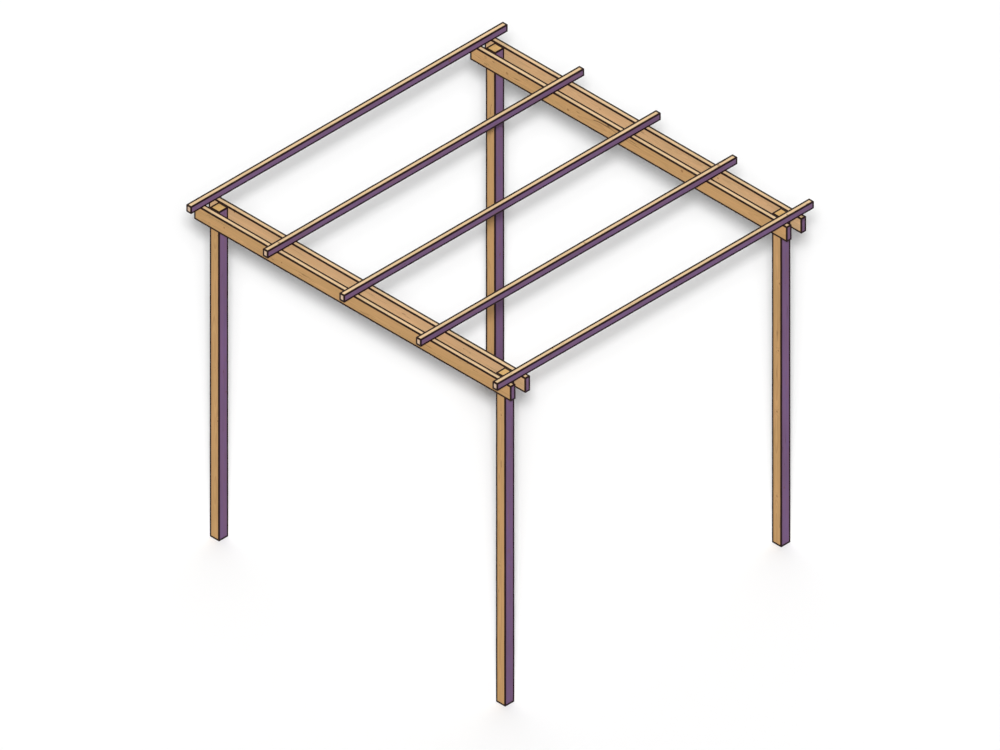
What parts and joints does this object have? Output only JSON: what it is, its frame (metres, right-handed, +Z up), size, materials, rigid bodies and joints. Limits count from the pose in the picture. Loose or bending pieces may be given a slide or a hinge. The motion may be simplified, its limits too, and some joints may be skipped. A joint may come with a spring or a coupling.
{
  "type": "wooden pergola",
  "caption": "Open garden pergola of planed timber: square posts clasped by paired bearer boards, with rafters laid across them to carry shade or climbing plants.",
  "frame": {"origin": "on the ground, in the middle of the four posts", "axes": "+X along the bearers towards the right-hand posts, +Y along the rafters towards the back, +Z up"},
  "size_m": [3, 3, 2.76],
  "materials": {
    "post_timber": "planed softwood, tan stain, with plum stain on the left and right faces",
    "bearer_timber": "planed softwood, tan stain, with plum stain on the sawn ends",
    "rafter_timber": "planed softwood, tan stain, plum stain on the sides, sawn ends left pale"
  },
  "bodies": {
    "root": {"post_front_left": "post_timber", "post_front_right": "post_timber", "post_back_left": "post_timber", "post_back_right": "post_timber", "front_beam_outer": "bearer_timber", "front_beam_inner": "bearer_timber", "back_beam_inner": "bearer_timber", "back_beam_outer": "bearer_timber", "rafter_1": "rafter_timber", "rafter_2": "rafter_timber", "rafter_3": "rafter_timber", "rafter_4": "rafter_timber", "rafter_5": "rafter_timber"}
  },
  "joints": []
}
